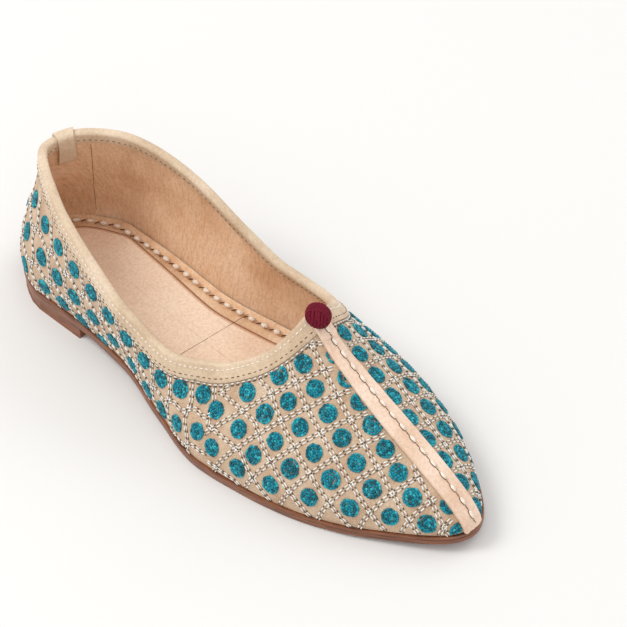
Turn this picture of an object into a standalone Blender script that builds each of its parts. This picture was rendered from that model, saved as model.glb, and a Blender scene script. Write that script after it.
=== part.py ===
"""A mojari, the right shoe of a pair: an embroidered slip-on with a flat leather sole.

It stands empty on the ground z = 0 with its toe along -Y. The wearer's outer side is -X.
Lengths are metres. Stations run from 0 at the back of the heel to 1 at the tip of the toe.
"""
import math

import bmesh
import bpy
import numpy as np
from mathutils import Matrix

# Sole and heel
SOLE_LENGTH = 0.252
BALL_WIDTH = 0.083
SOLE_THICK = 0.0038
SOLE_LEDGE = 0.0012
WELT_GROOVE = 0.0004
HEEL_HEIGHT = 0.0058
HEEL_LENGTH = 0.056
TOE_SPRING = 0.0040

# Upper
WALL = 0.0018
RIM_HEIGHT = 0.063
THROAT_BACK = 0.167
RIM_SETBACK = 0.013
THROAT_SHIFT = 0.0027

# Trim and inside
FIT_GAP = 0.0003
BINDING_THICK = 0.0008
BINDING_DROP = 0.0074
BINDING_FOLD = 0.0045
STRIP_THICK = 0.0011
STRIP_WIDTH = 0.0105
STRIP_ROLL = 0.0007
STRAP_THICK = 0.0008
STRAP_WIDTH = 0.0085
STRAP_SHIFT = 0.0075
STRAP_OUTSIDE = 0.0115
STRAP_INSIDE = 0.0140
INSOLE_THICK = 0.0024
SOCK_THICK = 0.0010
SOCK_MARGIN = 0.0095
KNOT_WIDTH = 0.0112
KNOT_HEIGHT = 0.0092
KNOT_BACK = 0.0012

# Counts
SIDE_COLUMNS = 42
UPPER_ROWS = 12
STRIP_ROWS = 30
KNOT_THREADS = 12

# Outline of the upper where it meets the sole.
# Station, outer and inner half widths as shares of BALL_WIDTH.
OUTLINE = np.array([
    (0.000, 0.000, 0.000),
    (0.020, 0.160, 0.153),
    (0.060, 0.275, 0.243),
    (0.120, 0.340, 0.308),
    (0.220, 0.342, 0.304),
    (0.340, 0.365, 0.296),
    (0.460, 0.460, 0.350),
    (0.580, 0.542, 0.422),
    (0.680, 0.514, 0.478),
    (0.760, 0.465, 0.456),
    (0.840, 0.377, 0.386),
    (0.910, 0.261, 0.281),
    (0.960, 0.167, 0.174),
    (0.985, 0.105, 0.104),
    (1.000, 0.000, 0.000),
])

# Rim of the opening, from the back of the heel to the throat.
# Share of the way, outer and inner half widths by BALL_WIDTH, height by RIM_HEIGHT.
RIM = np.array([
    (0.00, 0.000, 0.000, 1.020),
    (0.06, 0.135, 0.190, 1.045),
    (0.14, 0.218, 0.290, 1.035),
    (0.25, 0.308, 0.350, 0.985),
    (0.40, 0.378, 0.382, 0.857),
    (0.55, 0.421, 0.377, 0.708),
    (0.70, 0.427, 0.374, 0.600),
    (0.82, 0.348, 0.358, 0.616),
    (0.92, 0.240, 0.276, 0.724),
    (1.00, 0.000, 0.000, 1.010),
])

# Sections of the upper, by the station where each one leaves the sole.
# Station, share of the way round the rim, lean out at the sole and slope at the rim in
# degrees, and how far each end of the section runs straight, as shares of its span.
SECTIONS = np.array([
    (0.00, 0.000, 15, 86, 0.32, 0.34),
    (0.12, 0.255, 16, 84, 0.33, 0.34),
    (0.25, 0.423, 16, 81, 0.35, 0.34),
    (0.40, 0.560, 15, 77, 0.36, 0.34),
    (0.50, 0.660, 13, 70, 0.37, 0.34),
    (0.60, 0.750, 11, 61, 0.37, 0.34),
    (0.70, 0.832, 9, 54, 0.35, 0.35),
    (0.80, 0.895, 7, 50, 0.30, 0.36),
    (0.90, 0.947, 5, 48, 0.23, 0.38),
    (0.96, 0.972, 2, 47, 0.17, 0.38),
    (1.00, 1.000, 0, 47, 0.14, 0.34),
])


def smooth(table, column, at, key=None, level_ends=False):
    """Cubic through a table's column that never passes beyond its rows.

    Level ends let a quantity that is the same on both sides pass smoothly over the middle.
    """
    x = table[:, 0] if key is None else key(table[:, 0])
    y = table[:, column]
    step = np.diff(x)
    slope = np.diff(y) / step
    tangent = np.empty_like(y)
    tangent[0], tangent[-1] = (0, 0) if level_ends else (slope[0], slope[-1])
    both = slope[:-1] * slope[1:]
    tangent[1:-1] = np.where(both > 0, 2 * both / np.where(both > 0, slope[:-1] + slope[1:], 1), 0)
    at = np.clip(np.asarray(at, float), x[0], x[-1])
    i = np.clip(np.searchsorted(x, at) - 1, 0, len(step) - 1)
    t = (at - x[i]) / step[i]
    rest = 1 - t
    return (
        y[i] * (1 + 2 * t) * rest**2
        + y[i + 1] * (3 - 2 * t) * t**2
        + step[i] * t * rest * (tangent[i] * rest - tangent[i + 1] * t)
    )


def angle_of(share):
    """Turns a share of a rounded length into an angle from 0 to pi, so that round ends stay round."""
    return np.arccos(1 - 2 * share)


def ease(x):
    x = np.clip(x, 0, 1)
    return x * x * (3 - 2 * x)


def sole_bottom(station):
    """Height of the outsole's underside: flat on the heel, arched, flat at the ball, then up to the toe."""
    arch_start, arch_end, spring_start = 0.20, 0.53, 0.74
    arch = 1 - ease((station - arch_start) / (arch_end - arch_start))
    spring = np.clip((station - spring_start) / (1 - spring_start), 0, 1) ** 2
    return HEEL_HEIGHT * arch + TOE_SPRING * spring


def split_around(around):
    """Side, -1 outer or +1 inner, and angle along the sole for a place from 0 to 2 round the shoe."""
    around = np.mod(around, 2)
    return np.where(around < 1, -1.0, 1.0), math.pi * (1 - np.abs(1 - around))


def outline(around, inset=0.0):
    """Plan of the feather line, moved inwards by the inset along its own normal."""
    def plan(place):
        side, angle = split_around(place)
        outer = smooth(OUTLINE, 1, angle, angle_of)
        inner = smooth(OUTLINE, 2, angle, angle_of)
        half = np.where(side < 0, outer, inner) * BALL_WIDTH
        return np.stack([side * half, SOLE_LENGTH / 2 * np.cos(angle)], -1)

    reach = 1e-3
    along = plan(around + reach) - plan(around - reach)
    along /= np.linalg.norm(along, axis=-1, keepdims=True)
    inward = np.stack([-along[..., 1], along[..., 0]], -1)
    return plan(around) + inset * inward, -inward


def station_of(y):
    return np.clip(0.5 - y / SOLE_LENGTH, 0, 1)


def rim_point(side, angle):
    outer = smooth(RIM, 1, angle, angle_of)
    inner = smooth(RIM, 2, angle, angle_of)
    share = (1 - np.cos(angle)) / 2
    x = side * np.where(side < 0, outer, inner) * BALL_WIDTH + THROAT_SHIFT * share**2
    y = SOLE_LENGTH / 2 - RIM_SETBACK - (THROAT_BACK - RIM_SETBACK) * share
    return np.stack([x, y, smooth(RIM, 3, angle, angle_of, True) * RIM_HEIGHT], -1)


def upper_point(around, rise):
    """The upper's outer face: round the shoe from 0 to 2, and up from the sole at 0 to the rim at 1."""
    around, rise = np.broadcast_arrays(np.asarray(around, float), np.asarray(rise, float))
    side, angle = split_around(around)
    foot, outward = outline(around)
    low = np.concatenate([foot, np.zeros(foot.shape[:-1] + (1,))], -1)
    low[..., 2] = sole_bottom(station_of(foot[..., 1])) + SOLE_THICK + FIT_GAP
    high = rim_point(side, math.pi * smooth(SECTIONS, 1, angle, angle_of))
    lean = np.radians(smooth(SECTIONS, 2, angle, angle_of, True))
    slope = np.radians(smooth(SECTIONS, 3, angle, angle_of, True))
    span = np.linalg.norm(high - low, axis=-1)
    low_reach = smooth(SECTIONS, 4, angle, angle_of, True) * span
    high_reach = smooth(SECTIONS, 5, angle, angle_of, True) * span
    away = low[..., :2] - high[..., :2]
    to_vamp = ease((angle / math.pi - 0.45) / 0.30)[..., None]
    away = away / np.maximum(np.linalg.norm(away, axis=-1, keepdims=True), 1e-6)
    away = outward * (1 - to_vamp) + away * to_vamp
    away /= np.linalg.norm(away, axis=-1, keepdims=True)
    first = np.concatenate([outward * np.sin(lean)[..., None], np.cos(lean)[..., None]], -1)
    last = np.concatenate([away * np.cos(slope)[..., None], -np.sin(slope)[..., None]], -1)
    first = low + first * low_reach[..., None]
    last = high + last * high_reach[..., None]
    t = rise[..., None]
    return (
        low * (1 - t) ** 3
        + first * 3 * t * (1 - t) ** 2
        + last * 3 * t**2 * (1 - t)
        + high * t**3
    )


def upper_frame(around, rise):
    """Point, outward normal and upward direction on the upper's outer face."""
    reach = 2e-3
    rise = np.asarray(rise, float)
    lower, higher = np.maximum(rise - reach, 0), np.minimum(rise + reach, 1)
    along = upper_point(around + reach, rise) - upper_point(around - reach, rise)
    up = upper_point(around, higher) - upper_point(around, lower)
    normal = np.cross(along, up)
    normal /= np.linalg.norm(normal, axis=-1, keepdims=True)
    up /= np.linalg.norm(up, axis=-1, keepdims=True)
    return upper_point(around, rise), normal, up


def upper_offset(around, rise, depth):
    point, normal, _ = upper_frame(around, rise)
    return point + normal * np.asarray(depth, float)[..., None]


def rise_below_rim(around, drop):
    """Rise of the place a given distance below the rim, measured over the surface."""
    rises = np.linspace(1, 0, 81)
    line = upper_point(np.full_like(rises, around), rises)
    run = np.concatenate([[0], np.cumsum(np.linalg.norm(np.diff(line, axis=0), axis=1))])
    return np.interp(drop, run, rises)


def around_from_toe(rise, distance):
    """Place round the shoe that lies a signed distance from the vamp's centre line at one rise."""
    places = np.linspace(1, 1 + math.copysign(0.6, distance), 61)
    line = upper_point(places, np.full_like(places, rise))
    run = np.concatenate([[0], np.cumsum(np.linalg.norm(np.diff(line, axis=0), axis=1))])
    return np.interp(abs(distance), run, places)


def material(name, colour, roughness):
    made = bpy.data.materials.new(name)
    made.use_nodes = True
    shader = made.node_tree.nodes["Principled BSDF"]
    shader.inputs["Base Color"].default_value = (*colour, 1)
    shader.inputs["Roughness"].default_value = roughness
    made.diffuse_color = (*colour, 1)
    return made


def add_object(name, mesh, look):
    """Object with its mesh moved sideways, so that the sole's bounding box is centred on x = 0."""
    to_middle = 0.5 * BALL_WIDTH * (OUTLINE[:, 1].max() - OUTLINE[:, 2].max())
    mesh.transform(Matrix.Translation((to_middle, 0, 0)))
    made = bpy.data.objects.new(name, mesh)
    mesh.materials.append(look)
    bpy.context.scene.collection.objects.link(made)
    mesh.shade_smooth()
    mesh.set_sharp_from_angle(angle=math.radians(40))
    return made


def sweep(name, sections, look, loop):
    """Solid through rings of points, each one face there and the other back, in a loop or capped."""
    work = bmesh.new()
    rings = [[work.verts.new(point) for point in ring] for ring in sections]
    pairs = list(zip(rings, rings[1:] + rings[:1])) if loop else list(zip(rings, rings[1:]))
    for ring, following in pairs:
        for i in range(len(ring)):
            j = (i + 1) % len(ring)
            work.faces.new((ring[i], ring[j], following[j], following[i]))
    last = len(rings[0]) - 1
    for i in range(0 if loop else last // 2):
        for ring in (rings[0], rings[-1]):
            work.faces.new((ring[i], ring[i + 1], ring[last - i - 1], ring[last - i]))
    return finish(name, work, look)


def plate(name, layers, look):
    """Solid through outlines stacked upwards, whose two ends are closed straight across the shoe."""
    work = bmesh.new()
    rings = [[work.verts.new(point) for point in ring] for ring in layers]
    count = len(rings[0])
    for ring, above in zip(rings, rings[1:]):
        for i in range(count):
            j = (i + 1) % count
            work.faces.new((ring[i], ring[j], above[j], above[i]))
    for ring, turned in ((rings[0], True), (rings[-1], False)):
        for i in range(count // 2):
            left = [ring[i], ring[i + 1]]
            right = [ring[(count - i - 1) % count], ring[(count - i) % count]]
            corners = list(dict.fromkeys(left + right))
            if len(corners) > 2:
                work.faces.new(list(reversed(corners)) if turned else corners)
    return finish(name, work, look)


def finish(name, work, look):
    bmesh.ops.recalc_face_normals(work, faces=work.faces)
    mesh = bpy.data.meshes.new(name)
    work.to_mesh(mesh)
    work.free()
    return add_object(name, mesh, look)


def shoe_places():
    """Places round the shoe, a little closer together along the waist than at heel and toe."""
    even = np.arange(2 * SIDE_COLUMNS) / SIDE_COLUMNS
    return even + 0.15 * np.sin(2 * math.pi * even) / (2 * math.pi)


def level(inset, height, places=None):
    """Closed outline whose points stand a given height above the outsole's underside."""
    places = shoe_places() if places is None else places
    plan, _ = outline(places, inset)
    station = (1 - np.cos(split_around(places)[1])) / 2
    return np.column_stack([plan, sole_bottom(station) + height])


def make_outsole(look):
    groove_low, groove_high = 0.62 * SOLE_THICK, 0.74 * SOLE_THICK
    return plate("outsole", [
        level(-SOLE_LEDGE + 0.25 * SOLE_THICK, 0.0),
        level(-SOLE_LEDGE, 0.22 * SOLE_THICK),
        level(-SOLE_LEDGE, groove_low),
        level(-SOLE_LEDGE + WELT_GROOVE, 0.5 * (groove_low + groove_high)),
        level(-SOLE_LEDGE, groove_high),
        level(-SOLE_LEDGE + 0.1 * SOLE_THICK, SOLE_THICK),
    ], look)


def make_heel(look):
    """Low block under the back of the sole, with its breast cut straight across."""
    sides = 14
    last = float(angle_of(HEEL_LENGTH / SOLE_LENGTH)) / math.pi
    outer = np.linspace(0, last, sides + 1)
    places = np.concatenate([outer, 2 - outer[:0:-1]])
    layers = []
    for inset, share in ((0.0, 0.0), (-0.4, 0.12), (-0.6, 1.0)):
        ring = level(-SOLE_LEDGE - inset * SOLE_LEDGE, -FIT_GAP, places)
        ring[:, 2] *= share
        layers.append(ring)
    return plate("heel", layers, look)


def make_upper(look):
    rises = np.linspace(0, 1, UPPER_ROWS + 1)
    sections = []
    for place in shoe_places():
        around = np.full_like(rises, place)
        outer = upper_offset(around, rises, np.zeros_like(rises))
        inner = upper_offset(around, rises, np.full_like(rises, -WALL))
        inner[0, 2] = max(inner[0, 2], outer[0, 2])
        sections.append(np.concatenate([outer, inner[::-1]]))
    return sweep("upper", sections, look, loop=True)


def fold_section(place, outside, inside, thick, lift):
    """Section of leather folded over the rim: its outer face first, then back along its inner face."""
    point, normal, up = upper_frame(np.array([place]), np.array([1.0]))
    near = FIT_GAP + lift
    far = near + thick
    drops = np.array([0.15, 0.5, 1.0])

    def over_surface(depth, below):
        rises = rise_below_rim(place, below)
        return upper_offset(np.full_like(rises, place), rises, np.full_like(rises, depth))

    def face(reach, bend, crown):
        over_rim = ((bend, bend), (-WALL / 2, crown), (-WALL - bend, bend))
        return np.concatenate([
            over_surface(reach, outside * drops[::-1]),
            [point[0] + depth * normal[0] + height * up[0] for depth, height in over_rim],
            over_surface(-WALL - reach, inside * drops),
        ])

    return np.concatenate([face(far, 0.85 * far, 1.1 * far), face(near, 0.8 * near, near)[::-1]])


def make_binding(look):
    sections = [
        fold_section(place, BINDING_DROP, BINDING_FOLD, BINDING_THICK, 0.0)
        for place in shoe_places()
    ]
    return sweep("topline_binding", sections, look, loop=True)


def place_on_rim(distance):
    """Place round the shoe that lies a signed distance along the rim from the back, outwards first."""
    places = np.linspace(0, math.copysign(0.4, distance), 81)
    rim = upper_point(places, np.ones_like(places))
    run = np.concatenate([[0], np.cumsum(np.linalg.norm(np.diff(rim, axis=0), axis=1))])
    return float(np.interp(abs(distance), run, np.abs(places))) * math.copysign(1, distance)


def make_back_strap(look):
    """Tab folded over the binding at the heel seam, which lies a little to the inner side."""
    lift = BINDING_THICK + FIT_GAP
    middle = -STRAP_SHIFT
    reach = np.linspace(-0.5, 0.5, 7) * STRAP_WIDTH
    sections = [
        fold_section(place_on_rim(middle + part), STRAP_OUTSIDE, STRAP_INSIDE, STRAP_THICK, lift)
        for part in reach
    ]
    return sweep("back_strap", sections, look, loop=False)


def strip_width_share(rise):
    """The strip is narrow at the throat, full on the vamp and narrower again over the toe."""
    widths = np.array([(0.0, 0.84), (0.25, 0.96), (0.5, 1.0), (0.75, 0.82), (1.0, 0.52)])
    return smooth(widths, 1, rise)


def make_vamp_strip(look):
    """Band down the vamp from the throat to the toe, its outer edge rolled up a little."""
    sections = []
    lift_end = BINDING_DROP + 3 * BINDING_THICK
    for rise in np.linspace(0.012, 0.985, STRIP_ROWS):
        half = 0.5 * STRIP_WIDTH * float(strip_width_share(rise))
        line = upper_point(np.ones(40), np.linspace(rise, 1, 40))
        to_rim = np.linalg.norm(np.diff(line, axis=0), axis=1).sum()
        cover = 1 - ease((to_rim - lift_end) / (3 * BINDING_THICK))
        base = FIT_GAP + (BINDING_THICK + FIT_GAP) * float(cover)
        shares = np.array([-1.0, -0.75, -0.4, 0.0, 0.5, 1.0])
        places = np.array([around_from_toe(rise, share * half) for share in shares])
        rises = np.full_like(places, rise)
        roll = STRIP_ROLL * np.exp(-((shares + 0.75) / 0.3) ** 2)
        edge = np.where(np.abs(shares) > 0.99, 0.55, 1.0)
        top = upper_offset(places, rises, base + STRIP_THICK * edge + roll)
        under = upper_offset(places, rises, np.full_like(places, base))
        sections.append(np.concatenate([top, under[::-1]]))
    return sweep("vamp_strip", sections, look, loop=False)


def inside_level(height):
    """Closed outline just clear of the upper's inner face, at one height over the outsole's underside."""
    rises = np.linspace(0, 0.4, 33)
    ring = []
    for place in shoe_places():
        clear = np.full_like(rises, -WALL - FIT_GAP)
        wall = upper_offset(np.full_like(rises, place), rises, clear)
        heights = wall[:, 2] - sole_bottom(station_of(wall[:, 1]))
        x, y = (float(np.interp(height, heights, wall[:, i])) for i in (0, 1))
        ring.append((x, y, float(sole_bottom(station_of(y))) + height))
    return ring


def make_insole(look):
    bottom = SOLE_THICK + FIT_GAP
    return plate("insole", [inside_level(bottom), inside_level(bottom + INSOLE_THICK)], look)


def make_sock_lining(look):
    """Smooth pad on the insole, which leaves the insole's margin bare all round."""
    places = shoe_places()
    inset = WALL + FIT_GAP + SOCK_MARGIN
    side, angle = split_around(places)
    plan, _ = outline(places)
    plan = plan * np.array([1.0, 1 - 2 * inset / SOLE_LENGTH])
    plan[:, 0] -= side * inset * np.sin(angle)
    seat = sole_bottom(station_of(plan[:, 1])) + SOLE_THICK + 2 * FIT_GAP + INSOLE_THICK
    bottom = np.column_stack([plan, seat])
    top = np.column_stack([plan, seat + SOCK_THICK])
    return plate("sock_lining", [bottom, top], look)


def make_throat_knot(look):
    """Ball of wound thread on the rim at the throat, its threads as fused ridges."""
    point, normal, up = upper_frame(np.array([1.0]), np.array([1.0]))
    cover = 2 * FIT_GAP + BINDING_THICK + STRIP_THICK + 0.3 * STRIP_ROLL
    axis = normal[0]
    centre = point[0] + axis * (cover + FIT_GAP + 0.5 * KNOT_HEIGHT) - up[0] * KNOT_BACK
    side = np.array([1.0, 0.0, 0.0])
    side -= side.dot(axis) * axis
    side /= np.linalg.norm(side)
    ahead = np.cross(axis, side)
    around_count, level_count = 4 * KNOT_THREADS, 14
    work = bmesh.new()
    rings = []
    for j in range(1, level_count):
        latitude = math.pi * j / level_count
        ring = []
        for i in range(around_count):
            turn = 2 * math.pi * i / around_count
            wave = math.cos(KNOT_THREADS * (turn + 0.55 * math.cos(latitude)))
            swell = 1 + 0.045 * (wave - 1) * math.sin(latitude)
            across = 0.5 * KNOT_WIDTH * swell * math.sin(latitude)
            height = 0.5 * KNOT_HEIGHT * (1 + 0.02 * (wave - 1)) * math.cos(latitude)
            spot = centre + across * (math.cos(turn) * side + math.sin(turn) * ahead)
            ring.append(work.verts.new(spot + height * axis))
        rings.append(ring)
    top = work.verts.new(centre + 0.5 * KNOT_HEIGHT * axis)
    base = work.verts.new(centre - 0.5 * KNOT_HEIGHT * axis)
    for i in range(around_count):
        j = (i + 1) % around_count
        work.faces.new((top, rings[0][i], rings[0][j]))
        work.faces.new((base, rings[-1][j], rings[-1][i]))
        for ring, below in zip(rings, rings[1:]):
            work.faces.new((ring[i], below[i], below[j], ring[j]))
    return finish("throat_knot", work, look)


def main():
    for old in list(bpy.data.objects):
        bpy.data.objects.remove(old, do_unlink=True)
    sole_leather = material("Sole leather", (0.33, 0.12, 0.05), 0.55)
    heel_leather = material("Heel leather", (0.27, 0.09, 0.04), 0.55)
    cloth = material("Embroidered cloth", (0.65, 0.47, 0.30), 0.85)
    trim_leather = material("Trim leather", (0.75, 0.56, 0.38), 0.55)
    insole_leather = material("Insole leather", (0.62, 0.36, 0.20), 0.65)
    sock_leather = material("Sock leather", (0.82, 0.58, 0.38), 0.55)
    thread = material("Wound thread", (0.30, 0.005, 0.045), 0.70)
    pieces = [
        make_outsole(sole_leather),
        make_heel(heel_leather),
        make_upper(cloth),
        make_binding(trim_leather),
        make_back_strap(trim_leather),
        make_vamp_strip(trim_leather),
        make_insole(insole_leather),
        make_sock_lining(sock_leather),
        make_throat_knot(thread),
    ]
    shoe = bpy.data.objects.new("mojari", None)
    bpy.context.scene.collection.objects.link(shoe)
    for piece in pieces:
        piece.parent = shoe


main()
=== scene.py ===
"""A mojari for the right foot: embroidered cloth upper, leather trim and a flat leather sole.

It stands on the ground z = 0 with its toe along -Y and the wearer's outer side along -X.
Lengths are metres. A place on the upper is (around, rise): around runs from 0 at the heel
over 1 at the toe, by the outer side, to 2, and rise from 0 at the sole to 1 at the rim.
"""

import math

import bmesh
import bpy
import numpy as np
from mathutils import Matrix, Vector


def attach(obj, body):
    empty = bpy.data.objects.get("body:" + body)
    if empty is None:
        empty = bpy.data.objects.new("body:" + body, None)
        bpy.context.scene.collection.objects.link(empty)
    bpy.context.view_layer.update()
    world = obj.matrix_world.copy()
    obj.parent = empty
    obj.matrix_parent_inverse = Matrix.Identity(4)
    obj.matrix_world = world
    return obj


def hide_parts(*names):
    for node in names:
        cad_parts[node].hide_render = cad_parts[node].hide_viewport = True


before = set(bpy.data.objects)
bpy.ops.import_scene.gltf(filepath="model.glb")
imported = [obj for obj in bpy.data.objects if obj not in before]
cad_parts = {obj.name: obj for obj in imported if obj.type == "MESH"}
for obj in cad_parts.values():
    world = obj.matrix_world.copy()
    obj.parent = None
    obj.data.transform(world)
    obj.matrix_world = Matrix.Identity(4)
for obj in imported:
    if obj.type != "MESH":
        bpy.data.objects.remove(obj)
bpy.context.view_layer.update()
scene = bpy.context.scene

MM = 0.001

# Last, sole and upper
SOLE_LENGTH = 0.252
BALL_WIDTH = 0.083
SOLE_THICK = 0.0038
SOLE_LEDGE = 0.0012
HEEL_HEIGHT = 0.0058
TOE_SPRING = 0.0040
WALL = 0.0018
RIM_HEIGHT = 0.063
THROAT_BACK = 0.167
RIM_SETBACK = 0.013
THROAT_SHIFT = 0.0027
FIT_GAP = 0.0003

# Trim and inside
BINDING_THICK = 0.0008
BINDING_DROP = 0.0074
BINDING_FOLD = 0.0045
STRIP_THICK = 0.0011
STRIP_WIDTH = 0.0105
STRIP_ROLL = 0.0007
STRAP_THICK = 0.0008
STRAP_WIDTH = 0.0085
STRAP_SHIFT = 0.0075
STRAP_OUTSIDE = 0.0115
STRAP_INSIDE = 0.0140
INSOLE_THICK = 0.0024
SOCK_MARGIN = 0.0095
KNOT_WIDTH = 0.0112
KNOT_HEIGHT = 0.0092
KNOT_BACK = 0.0012

# Station, outer and inner half widths of the sole line by BALL_WIDTH
OUTLINE = np.array([
    (0.000, 0.000, 0.000),
    (0.020, 0.160, 0.153),
    (0.060, 0.275, 0.243),
    (0.120, 0.340, 0.308),
    (0.220, 0.342, 0.304),
    (0.340, 0.365, 0.296),
    (0.460, 0.460, 0.350),
    (0.580, 0.542, 0.422),
    (0.680, 0.514, 0.478),
    (0.760, 0.465, 0.456),
    (0.840, 0.377, 0.386),
    (0.910, 0.261, 0.281),
    (0.960, 0.167, 0.174),
    (0.985, 0.105, 0.104),
    (1.000, 0.000, 0.000),
])

# Rim: share of the way to the throat, outer and inner half widths, height
RIM = np.array([
    (0.00, 0.000, 0.000, 1.020),
    (0.06, 0.135, 0.190, 1.045),
    (0.14, 0.218, 0.290, 1.035),
    (0.25, 0.308, 0.350, 0.985),
    (0.40, 0.378, 0.382, 0.857),
    (0.55, 0.421, 0.377, 0.708),
    (0.70, 0.427, 0.374, 0.600),
    (0.82, 0.348, 0.358, 0.616),
    (0.92, 0.240, 0.276, 0.724),
    (1.00, 0.000, 0.000, 1.010),
])

# Sections: station, share round the rim, lean, slope, low and high straight reach
SECTIONS = np.array([
    (0.00, 0.000, 15, 86, 0.32, 0.34),
    (0.12, 0.255, 16, 84, 0.33, 0.34),
    (0.25, 0.423, 16, 81, 0.35, 0.34),
    (0.40, 0.560, 15, 77, 0.36, 0.34),
    (0.50, 0.660, 13, 70, 0.37, 0.34),
    (0.60, 0.750, 11, 61, 0.37, 0.34),
    (0.70, 0.832, 9, 54, 0.35, 0.35),
    (0.80, 0.895, 7, 50, 0.30, 0.36),
    (0.90, 0.947, 5, 48, 0.23, 0.38),
    (0.96, 0.972, 2, 47, 0.17, 0.38),
    (1.00, 1.000, 0, 47, 0.14, 0.34),
])

TO_MIDDLE = 0.5 * BALL_WIDTH * (OUTLINE[:, 1].max() - OUTLINE[:, 2].max())

# Soft troughs (negative) and swellings (positive) that the cloth took on the last:
# around, rise, reach around, reach in rise, turn in degrees, height in mm.
CREASES = np.array([
    (0.54, 0.62, 0.020, 0.22, 18, -0.55),
    (0.60, 0.55, 0.018, 0.20, 22, -0.40),
    (0.57, 0.50, 0.030, 0.25, 20, 0.35),
    (0.90, 0.84, 0.060, 0.030, 0, -0.40),
    (1.12, 0.83, 0.060, 0.030, 0, -0.40),
    (0.30, 0.35, 0.070, 0.18, 0, 0.45),
    (0.13, 0.45, 0.030, 0.25, -12, -0.40),
    (1.80, 0.50, 0.040, 0.25, 10, -0.45),
    (1.46, 0.60, 0.022, 0.22, -18, -0.50),
    (1.40, 0.50, 0.020, 0.22, -22, -0.35),
    (1.68, 0.35, 0.070, 0.18, 0, 0.40),
    (0.42, 0.30, 0.060, 0.15, 0, -0.35),
    (0.78, 0.35, 0.050, 0.22, 12, 0.35),
    (1.22, 0.40, 0.050, 0.22, -12, 0.30),
])


# Shape of the shoe.
def smooth(table, column, at, key=None, level_ends=False):
    """Cubic through a table's column that never passes beyond its rows."""
    x = table[:, 0] if key is None else key(table[:, 0])
    y = table[:, column]
    step = np.diff(x)
    slope = np.diff(y) / step
    tangent = np.empty_like(y)
    tangent[0], tangent[-1] = (0, 0) if level_ends else (slope[0], slope[-1])
    both = slope[:-1] * slope[1:]
    tangent[1:-1] = np.where(both > 0, 2 * both / np.where(both > 0, slope[:-1] + slope[1:], 1), 0)
    at = np.clip(at, x[0], x[-1])
    i = np.clip(np.searchsorted(x, at) - 1, 0, len(step) - 1)
    t = (at - x[i]) / step[i]
    rest = 1 - t
    return (
        y[i] * (1 + 2 * t) * rest**2
        + y[i + 1] * (3 - 2 * t) * t**2
        + step[i] * t * rest * (tangent[i] * rest - tangent[i + 1] * t)
    )


def angle_of(share):
    return np.arccos(1 - 2 * share)


def ease(x):
    x = np.clip(x, 0, 1)
    return x * x * (3 - 2 * x)


def dent(x, middle, reach):
    """Bell shape of height 1 at the middle, for soft hollows and swellings."""
    return np.exp(-((x - middle) / reach) ** 2)


def unit(vectors):
    return vectors / np.maximum(np.linalg.norm(vectors, axis=-1, keepdims=True), 1e-9)


def run_along(line):
    """Distance from the start of a line to each of its points."""
    return np.concatenate([[0], np.cumsum(np.linalg.norm(np.diff(line, axis=0), axis=1))])


def at_runs(line, run, at):
    """Points at distances from the start of a line whose own points lie at the given runs."""
    return np.stack([np.interp(at, run, line[:, i]) for i in range(3)], 1)


def sole_bottom(y):
    """Height of the outsole's underside: heel, arch, flat ball and toe spring."""
    station = np.clip(0.5 - y / SOLE_LENGTH, 0, 1)
    arch = 1 - ease((station - 0.20) / 0.33)
    spring = np.clip((station - 0.74) / 0.26, 0, 1) ** 2
    return HEEL_HEIGHT * arch + TOE_SPRING * spring


def split_around(around):
    """Side of a place, -1 for the outer one, and its angle from the heel."""
    around = np.mod(around, 2)
    return np.where(around < 1, -1.0, 1.0), math.pi * (1 - np.abs(1 - around))


def half_width(table, side, angle):
    outer, inner = (smooth(table, i, angle, angle_of) for i in (1, 2))
    return np.where(side < 0, outer, inner) * BALL_WIDTH


def outline(around, inset=0.0):
    """Plan of the line where the upper meets the sole, moved inwards by the inset."""
    def plan(place):
        side, angle = split_around(place)
        x = side * half_width(OUTLINE, side, angle) + TO_MIDDLE
        return np.stack([x, SOLE_LENGTH / 2 * np.cos(angle)], -1)

    along = unit(plan(around + 1e-3) - plan(around - 1e-3))
    inward = np.stack([-along[..., 1], along[..., 0]], -1)
    return plan(around) + np.asarray(inset)[..., None] * inward, -inward


def rim_point(side, angle):
    share = (1 - np.cos(angle)) / 2
    x = side * half_width(RIM, side, angle) + THROAT_SHIFT * share**2 + TO_MIDDLE
    y = SOLE_LENGTH / 2 - RIM_SETBACK - (THROAT_BACK - RIM_SETBACK) * share
    return np.stack([x, y, smooth(RIM, 3, angle, angle_of, True) * RIM_HEIGHT], -1)


def upper_point(around, rise):
    """The upper's outer face before its creases."""
    around, rise = np.broadcast_arrays(around, rise)
    side, angle = split_around(around)
    foot, outward = outline(around)
    low = np.concatenate([foot, (sole_bottom(foot[..., 1]) + SOLE_THICK + FIT_GAP)[..., None]], -1)
    high = rim_point(side, math.pi * smooth(SECTIONS, 1, angle, angle_of))
    lean, slope, low_reach, high_reach = (
        smooth(SECTIONS, i, angle, angle_of, True)[..., None] for i in (2, 3, 4, 5)
    )
    lean, slope = np.radians(lean), np.radians(slope)
    span = np.linalg.norm(high - low, axis=-1, keepdims=True)
    to_vamp = ease((angle / math.pi - 0.45) / 0.30)[..., None]
    away = unit(outward * (1 - to_vamp) + unit(low[..., :2] - high[..., :2]) * to_vamp)
    first = np.concatenate([outward * np.sin(lean), np.cos(lean)], -1)
    last = np.concatenate([away * np.cos(slope), -np.sin(slope)], -1)
    first = low + first * low_reach * span
    last = high + last * high_reach * span
    t = rise[..., None]
    return (
        low * (1 - t) ** 3
        + first * 3 * t * (1 - t) ** 2
        + last * 3 * t**2 * (1 - t)
        + high * t**3
    )


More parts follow.
